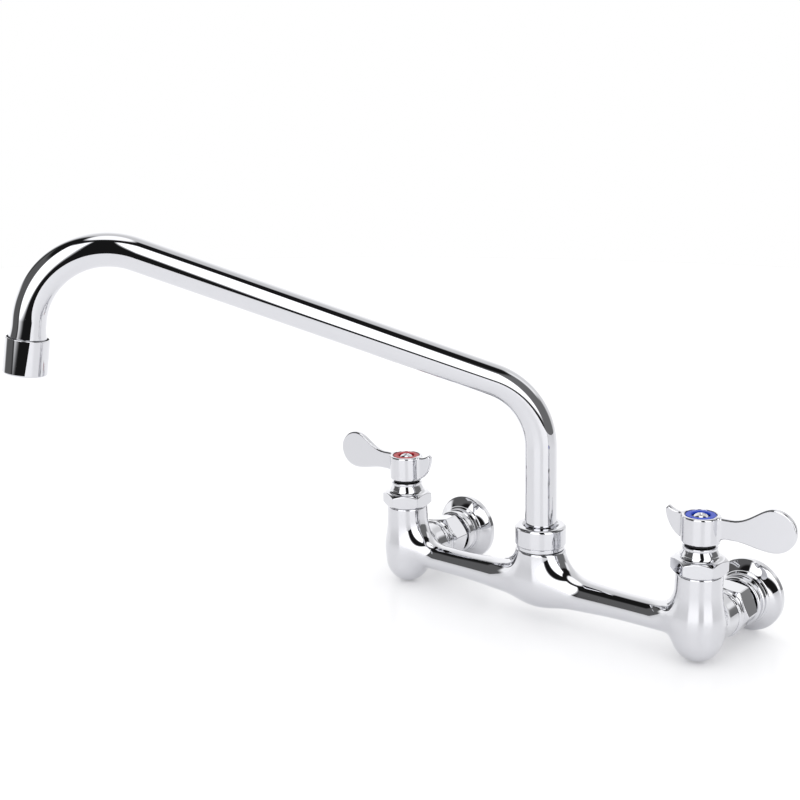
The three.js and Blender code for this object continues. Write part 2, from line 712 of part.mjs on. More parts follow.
// The tube's axis in its own upright plane: x outward, y up. It is a list of stations,
// close together in the bends, so that the swept tube has faces only where it curves.
class SpoutAxis extends THREE.Curve {
  constructor(startHeight, endStraight) {
    super();
    const slope = radians(spoutSlope);
    const firstTurn = Math.PI / 2 - slope;
    const lastTurn = slope + Math.PI / 2 - radians(tipTilt);
    this.stations = [];
    let heading = Math.PI / 2;
    let [x, y] = [0, startHeight];
    const station = () => this.stations.push({ x, y, heading });
    const straight = (length) => {
      x += length * Math.cos(heading);
      y += length * Math.sin(heading);
      station();
    };
    const bend = (radius, angle, steps) => {
      for (let i = 0; i < steps; i++) {
        const chord = 2 * radius * Math.sin(angle / steps / 2);
        heading -= angle / steps / 2;
        x += chord * Math.cos(heading);
        y += chord * Math.sin(heading);
        heading -= angle / steps / 2;
        station();
      }
    };
    const bendFoot = armMeetsRiser - riserBend * Math.tan(firstTurn / 2);
    station();
    straight(bendFoot - startHeight);
    bend(riserBend, firstTurn, 6);
    straight(armLength);
    bend(tipBend, lastTurn, 9);
    straight(endStraight);
  }

  get steps() { return this.stations.length - 1; }

  getPointAt(u) {
    const { x, y } = this.stations[Math.round(u * this.steps)];
    return new THREE.Vector3(x, 0, y);
  }

  getTangentAt(u) {
    const { heading } = this.stations[Math.round(u * this.steps)];
    return new THREE.Vector3(Math.cos(heading), 0, Math.sin(heading));
  }
}

function sweep(radius, axis, sides) {
  const section = new THREE.Shape().absarc(0, 0, radius, 0, 2 * Math.PI, false);
  return solid(new THREE.ExtrudeGeometry(section, {
    steps: axis.steps, curveSegments: sides / 2, bevelEnabled: false, extrudePath: axis,
  }));
}

const tubeAxis = new SpoutAxis(tubeBottom, tipStraight);
const tip = tubeAxis.stations[tubeAxis.steps];

// Places a solid that is turned about Z at the tip: its zero is the sleeve's upper rim and
// its height runs down the outlet.
function atTip(piece) {
  const lean = THREE.MathUtils.radToDeg(tip.heading) - 90;
  return piece.rotate([0, -lean, 0]).translate([tip.x, 0, tip.y]);
}

function makeTube() {
  const outer = sweep(tubeRadius, tubeAxis, smooth);
  const inner = sweep(tubeRadius - tubeWall, new SpoutAxis(tubeBottom - past, tipStraight), coarse);
  const sunk = 0.05; // keeps the bell's upper edge inside the tube
  const bell = [];
  const steps = 3;
  for (let i = 0; i <= steps; i++) {
    const t = i / steps;
    bell.push([mix(tubeRadius - sunk, flareRadius, t * t), -flareLength * (1 - t)]);
  }
  const outlet = turn([
    [0, -flareLength], ...bell, [flareRadius, edge], [aeratorRadius, 2 * edge],
    [aeratorRadius, threadLength], [0, threadLength],
  ]);
  const through = disc(tubeRadius - tubeWall, -flareLength / 2, threadLength + past);
  return sub(add(outer, atTip(outlet)), inner, atTip(through));
}

function makeSpigot() {
  const floor = spigotRadius - ringGroove;
  const half = ringSection + gap;
  const [lower, upper] = spigotRings;
  const inTube = (tubeRadius - tubeWall) * Math.cos(Math.PI / coarse) - gap;
  return turn([
    [spigotBore, spigotBottom], [spigotRadius, spigotBottom],
    [spigotRadius, lower - half], [floor, lower - half],
    [floor, lower + half], [spigotRadius, lower + half],
    [spigotRadius, upper - half], [floor, upper - half],
    [floor, upper + half], [spigotRadius, upper + half],
    [spigotRadius, clipBottom - gap], [floor, clipBottom - gap],
    [floor, spoutNutCeiling], [inTube, spoutNutCeiling],
    [inTube, spigotTop], [spigotBore, spigotTop],
  ]);
}

const makeGlideWasher = () =>
  ring(clear(spigotRadius), clipRadius, hubNeckTop + gap, washerTop);

function makeClip() {
  const inner = clear(spigotRadius - ringGroove);
  const whole = ring(inner, clipRadius, clipBottom, clipBottom + clipThickness);
  return sub(whole, block(clipOpening, 2 * clipRadius, 3 * clipThickness, 0, clipRadius, clipBottom));
}

function makeSpoutNut() {
  const bottom = hubTop + gap;
  const band = bottom + spoutNutGroove;
  const nut = turn([
    [0, bottom], [spoutNutSkirt - edge, bottom], [spoutNutSkirt, bottom + edge],
    [spoutNutSkirt, band], [spoutNutRadius, band + gap],
    ...quarter([spoutNutRadius, spoutNutTop - spoutNutShoulder],
      [spoutNutRadius - spoutNutShoulder, spoutNutTop]),
    [0, spoutNutTop],
  ], smooth);
  const bore = clear(tubeRadius, smooth);
  return sub(nut, disc(clear(hubNeckRadius, smooth), bottom - past, spoutNutCeiling, smooth),
    disc(bore, spoutNutCeiling - past, spoutNutTop, smooth),
    turn([[0, spoutNutTop - spoutNutLip], [bore, spoutNutTop - spoutNutLip],
      [bore + spoutNutLip, spoutNutTop], [bore + spoutNutLip, spoutNutTop + past],
      [0, spoutNutTop + past]], smooth));
}

// ---------------------------------------------------------------- aerator
const sleeveBore = sleeveRadius - sleeveWall;
const aeratorRadius = sleeveBore * Math.cos(Math.PI / smooth) - gap;
const aeratorTop = threadLength + gap;
const screenTop = aeratorTop + aeratorWasher + gap;
const insertTop = screenTop + screenThickness + gap;
const insertBottom = sleeveLength - sleeveLip - gap;

const makeSleeve = () =>
  turn([
    [sleeveBore, 0], [sleeveRadius - gap, 0], [sleeveRadius, gap],
    [sleeveRadius, sleeveLength - edge], [sleeveRadius - edge, sleeveLength],
    [sleeveMouth, sleeveLength], [sleeveMouth, sleeveLength - sleeveLip],
    [sleeveBore, sleeveLength - sleeveLip],
  ], smooth);

// A disc with rings of holes through it.
function sieve(bottom, top, rows) {
  const holes = [];
  for (const { count, reach, hole } of rows) {
    for (let i = 0; i < count; i++) {
      const angle = (i / count) * 2 * Math.PI;
      const [x, y] = [reach * Math.cos(angle), reach * Math.sin(angle)];
      holes.push(bar(hole, [x, y, bottom - past], [x, y, top + past], 6));
    }
  }
  return sub(disc(aeratorRadius, bottom, top), ...holes);
}

function makeScreen() {
  const rows = [
    { count: 4, reach: aeratorRadius * 0.3, hole: 1.2 },
    { count: 8, reach: aeratorRadius * 0.68, hole: 1.3 },
  ];
  return sieve(screenTop, screenTop + screenThickness, rows);
}

function makeInsert() {
  const rows = [{ count: 8, reach: aeratorRadius * 0.62, hole: 1.4 }];
  const plate = sieve(insertTop, insertBottom, rows);
  return sub(plate, disc(sleeveMouth - edge, insertBottom - insertRecess, insertBottom + past));
}

// ---------------------------------------------------------------- assembly
const faucet = new THREE.Group();

function place(parent, name, manifold, material) {
  const mesh = new THREE.Mesh(toGeometry(manifold), material);
  mesh.name = name;
  parent.add(mesh);
}

const axisLine = new THREE.Group();
axisLine.position.set(0, -standoff, 0);
faucet.add(axisLine);
place(axisLine, 'faucet_body', makeBody(), chrome);
place(axisLine, 'spout_nut', makeSpoutNut(), chrome);
place(axisLine, 'spout_glide_washer', makeGlideWasher(), nylon);

const sides = [
  { name: 'hot', x: -halfCentres, bladeTurn: 182, hexTurn: 33.7, nutTurn: 11.2, index: hotRed },
  { name: 'cold', x: halfCentres, bladeTurn: 4, hexTurn: 23.6, nutTurn: -5.8, index: coldBlue },
];

for (const { name, x, bladeTurn, hexTurn, nutTurn, index } of sides) {
  const valve = new THREE.Group();
  valve.position.set(x, -standoff, 0);
  faucet.add(valve);
  place(valve, `${name}_seat_seal`, makeSeatSeal(), rubber);
  place(valve, `${name}_fixed_disc`, makeFixedDisc().rotate([0, 0, 90]), ceramic);
  place(valve, `${name}_cartridge`, makeCartridge(), brass);
  place(valve, `${name}_bonnet_nut`, makeBonnet().rotate([0, 0, hexTurn]), chrome);
  place(valve, `${name}_dust_seal`, makeDustSeal(), rubber);

  const lever = new THREE.Group();
  lever.rotation.z = radians(bladeTurn);
  valve.add(lever);
  place(lever, `${name}_handle`, makeHandle(), chrome);
  place(lever, `${name}_index_ring`, makeIndexRing(), index);
  place(lever, `${name}_handle_screw`, makeScrew(), chrome);
  place(lever, `${name}_stem`, makeStem(), brass);
  place(lever, `${name}_stem_ring`, makeStemRing(), rubber);
  place(lever, `${name}_rotor_disc`, makeRotorDisc(), ceramic);

  const inlet = new THREE.Group();
  inlet.position.set(x, 0, 0);
  inlet.rotation.x = Math.PI / 2;
  faucet.add(inlet);
  place(inlet, `${name}_wall_flange`, makeFlange(), chrome);
  place(inlet, `${name}_coupling_nut`, makeCouplingNut().rotate([0, 0, nutTurn]), chrome);
  place(inlet, `${name}_inlet_washer`, makeInletWasher(), rubber);
}

const spout = new THREE.Group();
spout.position.set(0, -standoff, 0);
spout.rotation.z = radians(180 + spoutSwing);
faucet.add(spout);
place(spout, 'spout_tube', makeTube(), chrome);
place(spout, 'spout_spigot', makeSpigot(), brass);
place(spout, 'spout_clip', makeClip(), steel);
for (const [order, height] of [['lower', spigotRings[0]], ['upper', spigotRings[1]]]) {
  place(spout, `spout_${order}_ring`, oRing(spigotRadius - ringGroove, height), rubber);
}
place(spout, 'aerator_sleeve', atTip(makeSleeve()), chrome);
place(spout, 'aerator_washer', atTip(ring(tubeRadius - tubeWall, aeratorRadius,
  aeratorTop, aeratorTop + aeratorWasher)), rubber);
place(spout, 'aerator_screen', atTip(makeScreen()), steel);
place(spout, 'aerator_insert', atTip(makeInsert()), nylon);

export default faucet;
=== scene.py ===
"""Looks of a commercial wall faucet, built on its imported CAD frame. Blender 4.5.

Lengths are in millimetres here and become metres in add_piece. +Z is up, +Y goes into the wall,
and the origin is on the wall plane midway between the two inlets.
"""
import math

import bpy
import numpy as np
from mathutils import Matrix, Vector


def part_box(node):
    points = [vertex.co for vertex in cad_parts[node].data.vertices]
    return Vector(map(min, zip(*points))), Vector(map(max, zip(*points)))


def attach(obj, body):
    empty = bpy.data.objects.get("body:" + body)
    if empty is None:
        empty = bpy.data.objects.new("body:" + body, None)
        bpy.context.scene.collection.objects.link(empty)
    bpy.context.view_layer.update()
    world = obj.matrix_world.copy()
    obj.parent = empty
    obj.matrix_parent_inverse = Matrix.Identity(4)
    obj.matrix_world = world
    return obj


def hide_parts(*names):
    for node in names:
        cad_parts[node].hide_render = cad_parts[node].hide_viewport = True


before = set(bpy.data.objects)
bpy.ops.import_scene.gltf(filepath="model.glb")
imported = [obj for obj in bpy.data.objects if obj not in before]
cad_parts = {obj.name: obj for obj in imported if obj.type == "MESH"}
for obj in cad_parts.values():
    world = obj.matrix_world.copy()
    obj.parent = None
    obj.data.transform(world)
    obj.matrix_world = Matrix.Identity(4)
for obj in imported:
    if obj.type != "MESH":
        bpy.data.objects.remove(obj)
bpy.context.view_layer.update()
scene = bpy.context.scene

METRE = 1000.0
GAP = 0.3  # clearance between touching pieces, as in the CAD
RING_PROUD = 0.25  # how far the CAD's index ring stands out of its handle


# ---------------------------------------------------------------- places taken from the frame
def span(node):
    """Lowest and highest corner of a CAD node, in millimetres."""
    low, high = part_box(node)
    return np.array(low) * METRE, np.array(high) * METRE


def middle(node):
    low, high = span(node)
    return (low + high) / 2


VALVE_X, AXIS_Y = middle("cold_dust_seal")[:2]
SEAL_BOTTOM, SEAL_TOP = (corner[2] for corner in span("cold_dust_seal"))
HANDLE_BOTTOM = SEAL_TOP + GAP
HANDLE_TOP = span("cold_index_ring")[1][2] - RING_PROUD
RING_BOTTOM = span("cold_index_ring")[0][2]
TOWER_TOP = 32.6
HUB_TOP = span("spout_nut")[0][2] - GAP


# ---------------------------------------------------------------- materials
NOISE_LOW, NOISE_HIGH = 0.3, 0.7  # nearly all of a noise socket's values lie between these


def nodes_of(material):
    material.use_nodes = True
    tree = material.node_tree
    return tree.nodes, tree.links, tree.nodes["Principled BSDF"]


def noise(nodes, links, scale, detail=3.0, stretch=(1, 1, 1)):
    """Noise in the object's own space, as a socket from 0 to 1."""
    place = nodes.new("ShaderNodeTexCoord")
    mapping = nodes.new("ShaderNodeMapping")
    mapping.inputs["Scale"].default_value = stretch
    texture = nodes.new("ShaderNodeTexNoise")
    texture.inputs["Scale"].default_value = scale
    texture.inputs["Detail"].default_value = detail
    links.new(place.outputs["Object"], mapping.inputs["Vector"])
    links.new(mapping.outputs["Vector"], texture.inputs["Vector"])
    return texture.outputs["Fac"]


def vary(nodes, links, source, low, high):
    """Spreads a noise socket between two values."""
    spread = nodes.new("ShaderNodeMapRange")
    spread.inputs["From Min"].default_value = NOISE_LOW
    spread.inputs["From Max"].default_value = NOISE_HIGH
    spread.inputs["To Min"].default_value = low
    spread.inputs["To Max"].default_value = high
    links.new(source, spread.inputs["Value"])
    return spread.outputs["Result"]


def bump(nodes, links, shader, source, height):
    """Relief of the given height in metres."""
    relief = nodes.new("ShaderNodeBump")
    relief.inputs["Distance"].default_value = height
    links.new(source, relief.inputs["Height"])
    links.new(relief.outputs["Normal"], shader.inputs["Normal"])


def tint(nodes, links, shader, source, dark, light):
    """Base colour that drifts between two colours."""
    blend = nodes.new("ShaderNodeMix")
    blend.data_type = "RGBA"
    blend.inputs["A"].default_value = (*dark, 1)
    blend.inputs["B"].default_value = (*light, 1)
    links.new(vary(nodes, links, source, 0, 1), blend.inputs["Factor"])
    links.new(blend.outputs["Result"], shader.inputs["Base Color"])


def metal(name, color, roughness, cloud, relief=0.0, relief_scale=60.0, grain=(1, 1, 1)):
    """Plated or bare metal: cloudy roughness, and a fine relief left by casting or turning."""
    material = bpy.data.materials.new(name)
    nodes, links, shader = nodes_of(material)
    shader.inputs["Metallic"].default_value = 1
    shader.inputs["Base Color"].default_value = (*color, 1)
    patches = noise(nodes, links, cloud)
    links.new(vary(nodes, links, patches, *roughness), shader.inputs["Roughness"])
    if relief:
        ripple = noise(nodes, links, relief_scale, detail=2.0, stretch=grain)
        bump(nodes, links, shader, ripple, relief)
    return material


def moulded(name, dark, light, roughness, relief):
    """Plastic, rubber or ceramic: a slight drift of colour and a fine grain."""
    material = bpy.data.materials.new(name)
    nodes, links, shader = nodes_of(material)
    tint(nodes, links, shader, noise(nodes, links, scale=120.0), dark, light)
    shader.inputs["Specular IOR Level"].default_value = 0.2
    grain = noise(nodes, links, scale=900.0, detail=4.0)
    links.new(vary(nodes, links, grain, *roughness), shader.inputs["Roughness"])
    bump(nodes, links, shader, grain, relief)
    return material


CHROME_COLOR = (0.69, 0.693, 0.72)
chrome_cast = metal("cast chrome", CHROME_COLOR, (0.015, 0.04), 45.0, 6e-6, 55.0)
chrome_drawn = metal("drawn chrome", CHROME_COLOR, (0.01, 0.03), 30.0)
chrome_turned = metal("turned chrome", CHROME_COLOR, (0.015, 0.035), 90.0)
brass = metal("machined brass", (0.72, 0.5, 0.22), (0.18, 0.34), 160.0, 4e-6, 300.0, (1, 1, 12))
steel = metal("stainless steel", (0.62, 0.62, 0.63), (0.16, 0.28), 200.0, 3e-6, 300.0, (8, 1, 1))
ceramic = moulded("lapped ceramic", (0.82, 0.8, 0.76), (0.87, 0.85, 0.81), (0.12, 0.25), 1e-6)
rubber = moulded("black rubber", (0.012, 0.012, 0.013), (0.022, 0.022, 0.024), (0.42, 0.6), 8e-6)
nylon = moulded("white nylon", (0.78, 0.77, 0.73), (0.84, 0.83, 0.8), (0.35, 0.5), 4e-6)
hot_red = moulded("red plastic", (0.34, 0.004, 0.01), (0.42, 0.008, 0.016), (0.3, 0.4), 2e-6)
cold_blue = moulded("blue plastic", (0.006, 0.04, 0.42), (0.01, 0.055, 0.52), (0.3, 0.4), 2e-6)


# ---------------------------------------------------------------- meshes
FILLET_SHARE = 0.48  # of the shorter side beside a corner, at most
STRAIGHT = 1e-3  # a bend under this angle is no corner


def add_piece(name, shape, material, body, slot, *replaced):
    """Makes a piece from points and normals in millimetres and hangs it on its CAD body."""
    points, normals, faces = shape
    mesh = bpy.data.meshes.new(name)
    mesh.from_pydata((points / METRE).tolist(), [], faces)
    mesh.polygons.foreach_set("use_smooth", [True] * len(mesh.polygons))
    mesh.update()
    mesh.normals_split_custom_set_from_vertices(normals.tolist())
    mesh.materials.append(material)
    piece = bpy.data.objects.new(name, mesh)
    scene.collection.objects.link(piece)
    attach(piece, body)
    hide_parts(*replaced)
    return piece


def unit(vectors):
    return vectors / np.linalg.norm(vectors, axis=-1, keepdims=True)


def upright(origin, turn=0.0):
    """A placement whose own Z points up."""
    return np.array(origin, float), turned_about_z(turn)


def turned_about_z(degrees):
    c, s = math.cos(math.radians(degrees)), math.sin(math.radians(degrees))
    return np.array([[c, -s, 0], [s, c, 0], [0, 0, 1]])


def from_wall(x):
    """A placement whose own Z points from the wall into the room."""
    lay_down = np.array([[1, 0, 0], [0, 0, -1], [0, 1, 0]], float)
    return np.array([x, 0, 0], float), lay_down


def placed(shape, placement):
    points, normals, faces = shape
    origin, turn = placement
    return points @ turn.T + origin, normals @ turn.T, faces


def rounded(corners, closed=False, steps=5):
    """A profile with rounded corners.

    corners are (radius, height, fillet) in order up the outside; without a fillet a point is on a
    smooth curve. Returns radius, height and the profile's direction at each point.
    """
    spots = [np.array(c[:2], float) for c in corners]
    count = len(spots)
    rows = []
    for i, corner in enumerate(corners):
        before, here, after = spots[i - 1], spots[i], spots[(i + 1) % count]
        at_end = not closed and i in (0, count - 1)
        if at_end:
            along = unit(after - here) if i == 0 else unit(here - before)
            rows.append([*here, *along])
            continue
        into, out = unit(here - before), unit(after - here)
        if len(corner) < 3:
            rows.append([*here, *unit(into + out)])
            continue
        bend = math.atan2(into[0] * out[1] - into[1] * out[0], into @ out)
        if abs(bend) < STRAIGHT:
            rows.append([*here, *into])
            continue
        room = FILLET_SHARE * min(np.linalg.norm(here - before), np.linalg.norm(after - here))
        reach = min(corner[2] * abs(math.tan(bend / 2)), room)
        radius = reach / abs(math.tan(bend / 2))
        start = here - into * reach
        side = math.copysign(1, bend)
        centre = start + side * radius * np.array([-into[1], into[0]])
        for k in range(steps + 1):
            angle = bend * k / steps
            c, s = math.cos(angle), math.sin(angle)
            spoke = start - centre
            spot = centre + np.array([c * spoke[0] - s * spoke[1], s * spoke[0] + c * spoke[1]])
            rows.append([*spot, c * into[0] - s * into[1], s * into[0] + c * into[1]])
    return np.array(rows)


def all_round(radius, angle):
    return radius + 0 * angle


def turned(profile, sides=128, shape_radius=all_round, closed=False):
    """A profile turned about Z. shape_radius(radius, angle) may make it other than round."""
    angle = np.arange(sides) * 2 * math.pi / sides
    radius, height, along_r, along_z = profile.T
    step = 1e-4
    r, a = radius[None, :], angle[:, None]
    reach = shape_radius(r, a)
    by_angle = (shape_radius(r, a + step) - shape_radius(r, a - step)) / (2 * step)
    by_radius = (shape_radius(r + step, a) - shape_radius(r - step, a)) / (2 * step)
    outward = np.stack([np.cos(a), np.sin(a), 0 * a], -1)
    around = np.stack([-np.sin(a), np.cos(a), 0 * a], -1)
    up = np.array([0, 0, 1.0])
    points = reach[..., None] * outward + (height + 0 * a)[..., None] * up
    over = by_angle[..., None] * outward + np.maximum(reach, 1e-3)[..., None] * around
    climb = (by_radius * along_r)[..., None] * outward + (along_z + 0 * a)[..., None] * up
    normals = unit(np.cross(over, climb))
    return stitched(points, normals, closed)


def stitched(points, normals, closed):
    """Faces for a grid that closes round. One whose profile is open ends in a pole at each side."""
    around, along = points.shape[:2]
    index = np.arange(around * along).reshape(around, along)
    nearby = np.roll(index, -1, 0)
    onward = np.roll(index, -1, 1)
    nearby_on = np.roll(onward, -1, 0)
    last = along if closed else along - 1
    quads = np.stack([index, nearby, nearby_on, onward], -1)[:, :last].reshape(-1, 4)
    faces = quads.tolist()
    flat, flat_normals = points.reshape(-1, 3), normals.reshape(-1, 3)
    if not closed:
        for end, order in ((0, -1), (along - 1, 1)):
            pole = len(flat)
            flat = np.vstack([flat, points[:, end].mean(0)])
            flat_normals = np.vstack([flat_normals, unit(normals[:, end].mean(0))])
            ring = index[:, end]
            faces += [[int(p), int(q), pole][::order] for p, q in zip(ring, np.roll(ring, -1))]
    return flat, flat_normals, faces


# ---------------------------------------------------------------- distance fields
NET_PULLS = 4  # times that a net's corners are drawn onto its surface


def melt(a, b, width):
    """Two forms as one, their joint rounded over a width."""
    t = np.clip(0.5 + 0.5 * (b - a) / width, 0, 1)
    return b + (a - b) * t - width * t * (1 - t)


def cut(a, b, width):
    """The part of a that is also in b, its new edge rounded."""
    return -melt(-a, -b, width)


def round_cone(off, along, length, start, end):
    """A tapered form with a ball at each end, of radius start at 0 and end at length.

    off is the distance from its axis and along the place on it.
    """
    lean = (start - end) / length
    upright_share = math.sqrt(1 - lean * lean)
    side = -lean * off + upright_share * along
    body = upright_share * off + lean * along - start
    foot = np.hypot(off, along) - start
    head = np.hypot(off, along - length) - end
    return np.where(side < 0, foot, np.where(side > upright_share * length, head, body))


def rod(off, along, low, high, radius, edge):
    """A solid cylinder with its rims rounded."""
    return cut(off - radius, np.abs(along - (low + high) / 2) - (high - low) / 2, edge)


def slope_of(field, points):
    step = 1e-3
    columns = []
    for k in range(3):
        shift = np.zeros(3)
        shift[k] = step
        columns.append((field(*(points + shift).T) - field(*(points - shift).T)) / (2 * step))
    return np.stack(columns, -1)


def surface_net(field, low, high, cell):
    """The zero surface of a field as a quad mesh: one corner in each cell that it crosses.

    The corners start at the mean of the cell's crossings and are then drawn onto the surface.
    """
    lines = [np.arange(a, b + cell, cell) for a, b in zip(low, high)]
    value = field(*np.meshgrid(*lines, indexing="ij"))
    cells = [n - 1 for n in value.shape]
    total = np.zeros((*cells, 3))
    hits = np.zeros(cells)
    crossings = []
    for axis in range(3):
        order = [axis, (axis + 1) % 3, (axis + 2) % 3]
        v = value.transpose(order)
        a, b = v[:-1], v[1:]
        crossed = (a < 0) != (b < 0)
        spots = np.argwhere(crossed)
        share = a[crossed] / (a[crossed] - b[crossed])
        place = np.stack([
            lines[order[0]][spots[:, 0]] + share * cell,
            lines[order[1]][spots[:, 1]],
            lines[order[2]][spots[:, 2]],
        ], -1)
        crossings.append((order, spots, a[crossed] < 0))
        back = np.argsort(order)
        for du in (0, 1):
            for dv in (0, 1):
                owner = (spots - [0, du, dv])[:, back]
                np.add.at(total, tuple(owner.T), place[:, back])
                np.add.at(hits, tuple(owner.T), 1)
    used = hits > 0
    points = total[used] / hits[used][:, None]
    number = np.full(cells, -1)
    number[used] = np.arange(len(points))
    for _ in range(NET_PULLS):
        slope = slope_of(field, points)
        points = points - slope * (field(*points.T) / (slope ** 2).sum(-1))[:, None]
    faces = []
    for order, spots, inside in crossings:
        back = np.argsort(order)
        corners = []
        for du, dv in ((0, 0), (1, 0), (1, 1), (0, 1)):
            owner = (spots - [0, du, dv])[:, back]
            corners.append(number[tuple(owner.T)])
        quads = np.stack(corners, -1)
        quads[~inside] = quads[~inside][:, ::-1]
        faces += quads.tolist()
    return points, unit(slope_of(field, points)), faces


# ---------------------------------------------------------------- cast body
TOWER_TOP_RADIUS, TOWER_BASE_RADIUS, TOWER_BOTTOM = 12.5, 13.6, -18.1
ARM_HEIGHT, ARM_RADIUS, ARM_HUB_RADIUS, ARM_FLARE = 1.8, 8.1, 10.8, 61.0
HUB_RADIUS, HUB_BASE_RADIUS, HUB_BOTTOM = 13.8, 8.5, -4.0
# widths of the melt under and above the arm, which change over twice the half height
TOWER_BLENDS, HUB_BLENDS, BLEND_HALF_HEIGHT = (6.2, 16.2), (18.6, 24.8), 8.0
BOSS_RADIUS, BOSS_DRAFT, BOSS_BLEND, BOSS_REACH = 12.9, 0.6, 5.0, 28.0
# the turned lip at the boss's end: its height, its width and the melt at its foot
LIP_HEIGHT, LIP_WIDTH, LIP_EDGE, LIP_BLEND = 0.9, 2.6, 0.8, 0.7
CAST_OVER, LIP_OVER = 6.0, 5.0  # past the machined faces, which cut them off
CHAMBER_RADIUS, SOCKET_RADIUS, SEAT_HEIGHT = 9.6, 8.6, 7.0
MACHINED_EDGE, BORE_EDGE = 0.9, 0.5


def smooth_share(value, low, high):
    share = np.clip((value - low) / (high - low), 0, 1)
    return share * share * (3 - 2 * share)


def cast_field(x, y, z):
    """The casting as it leaves the mould: towers, arms, hub and inlet bosses."""
    from_valve = np.abs(x) - VALVE_X
    tower_foot = TOWER_BOTTOM + TOWER_BASE_RADIUS
    tower = round_cone(np.hypot(from_valve, y), z - tower_foot,
                       TOWER_TOP + CAST_OVER - tower_foot, TOWER_BASE_RADIUS, TOWER_TOP_RADIUS)
    from_arm = np.sqrt(y ** 2 + (z - ARM_HEIGHT) ** 2 + np.maximum(from_valve, 0) ** 2)
    thinner = smooth_share(np.abs(x), 0, ARM_FLARE)
    arm = from_arm - ARM_HUB_RADIUS + (ARM_HUB_RADIUS - ARM_RADIUS) * thinner
    hub_foot = HUB_BOTTOM + HUB_BASE_RADIUS
    hub = round_cone(np.hypot(x, y), z - hub_foot, HUB_TOP + CAST_OVER - hub_foot,
                     HUB_BASE_RADIUS, HUB_RADIUS)
    boss = round_cone(np.hypot(from_valve, z), y, BOSS_REACH + CAST_OVER,
                      BOSS_RADIUS - BOSS_DRAFT, BOSS_RADIUS)
    above = smooth_share(z, ARM_HEIGHT - BLEND_HALF_HEIGHT, ARM_HEIGHT + BLEND_HALF_HEIGHT)
    hub_blend, tower_blend = (low + (high - low) * above
                              for low, high in (HUB_BLENDS, TOWER_BLENDS))
    return melt(melt(melt(arm, hub, hub_blend), tower, tower_blend), boss, BOSS_BLEND)


def body_field(x, y, z):
    """The casting with its faces machined, its lips on and its chambers bored."""
    from_valve = np.abs(x) - VALVE_X
    over = z - np.where(np.abs(x) < VALVE_X / 2, HUB_TOP, TOWER_TOP)
    lip = rod(np.hypot(from_valve, z), y, BOSS_REACH - LIP_WIDTH, BOSS_REACH + LIP_OVER,
              BOSS_RADIUS + LIP_HEIGHT, LIP_EDGE)
    whole = melt(cast_field(x, y, z), lip, LIP_BLEND)
    whole = cut(cut(whole, over, MACHINED_EDGE), y - BOSS_REACH, MACHINED_EDGE)
    chamber = np.maximum(np.hypot(from_valve, y) - CHAMBER_RADIUS, SEAT_HEIGHT - z)
    socket = np.maximum(np.hypot(x, y) - SOCKET_RADIUS, SEAT_HEIGHT - z)
    return cut(whole, -np.minimum(chamber, socket), BORE_EDGE)


def make_body():
    cell = 0.9
    margin = 3.0
    side = VALVE_X + TOWER_BASE_RADIUS + margin
    low = [-side, -TOWER_BASE_RADIUS - margin, TOWER_BOTTOM - margin]
    high = [side, BOSS_REACH + margin, TOWER_TOP + margin]
    shape = placed(surface_net(body_field, low, high, cell), upright([0, AXIS_Y, 0]))
    add_piece("faucet_body_chrome", shape, chrome_cast, "body", "chrome", "faucet_body")


# ---------------------------------------------------------------- bonnets and inlet fittings
FLANGE_RADIUS = 21.4
HEX_SIDES = 360  # divisions round a hexagon nut
LONG_STEPS, SHORT_STEPS = 26, 8  # divisions of a nut's straight stretches over 4 and over 1 mm


def hexagon(flats, turn):
    """Limits a radius to a hexagon across the given flats, its corners rounded a little."""
    corner, least = 0.5, 0.3

    def limit(radius, angle):
        reach = radius
        for k in range(6):
            facing = np.cos(angle - math.radians(60 * k + 30 + turn))
            flat = np.where(facing > least, flats / 2 / np.maximum(facing, least), flats * 2)
            reach = melt(reach, flat, corner)
        return reach
    return limit


def subdivided(profile):
    """The same closed profile with its long straight stretches divided."""
    rows = []
    for here, after in zip(profile, np.roll(profile, -1, 0)):
        length = np.linalg.norm(after[:2] - here[:2])
        count = LONG_STEPS if length > 4 else SHORT_STEPS if length > 1 else 1
        straight = unit(after[:2] - here[:2]) if count > 1 else here[2:]
        for k in range(count):
            along = here[2:] if k == 0 else straight
            rows.append([*(here[:2] + (after[:2] - here[:2]) * k / count), *along])
    return np.array(rows)


def hexagon_nut(corners, flats, turn):
    """A closed profile turned about Z and cut to a hexagon."""
    profile = subdivided(rounded(corners, closed=True, steps=6))
    return turned(profile, HEX_SIDES, hexagon(flats, turn), closed=True)


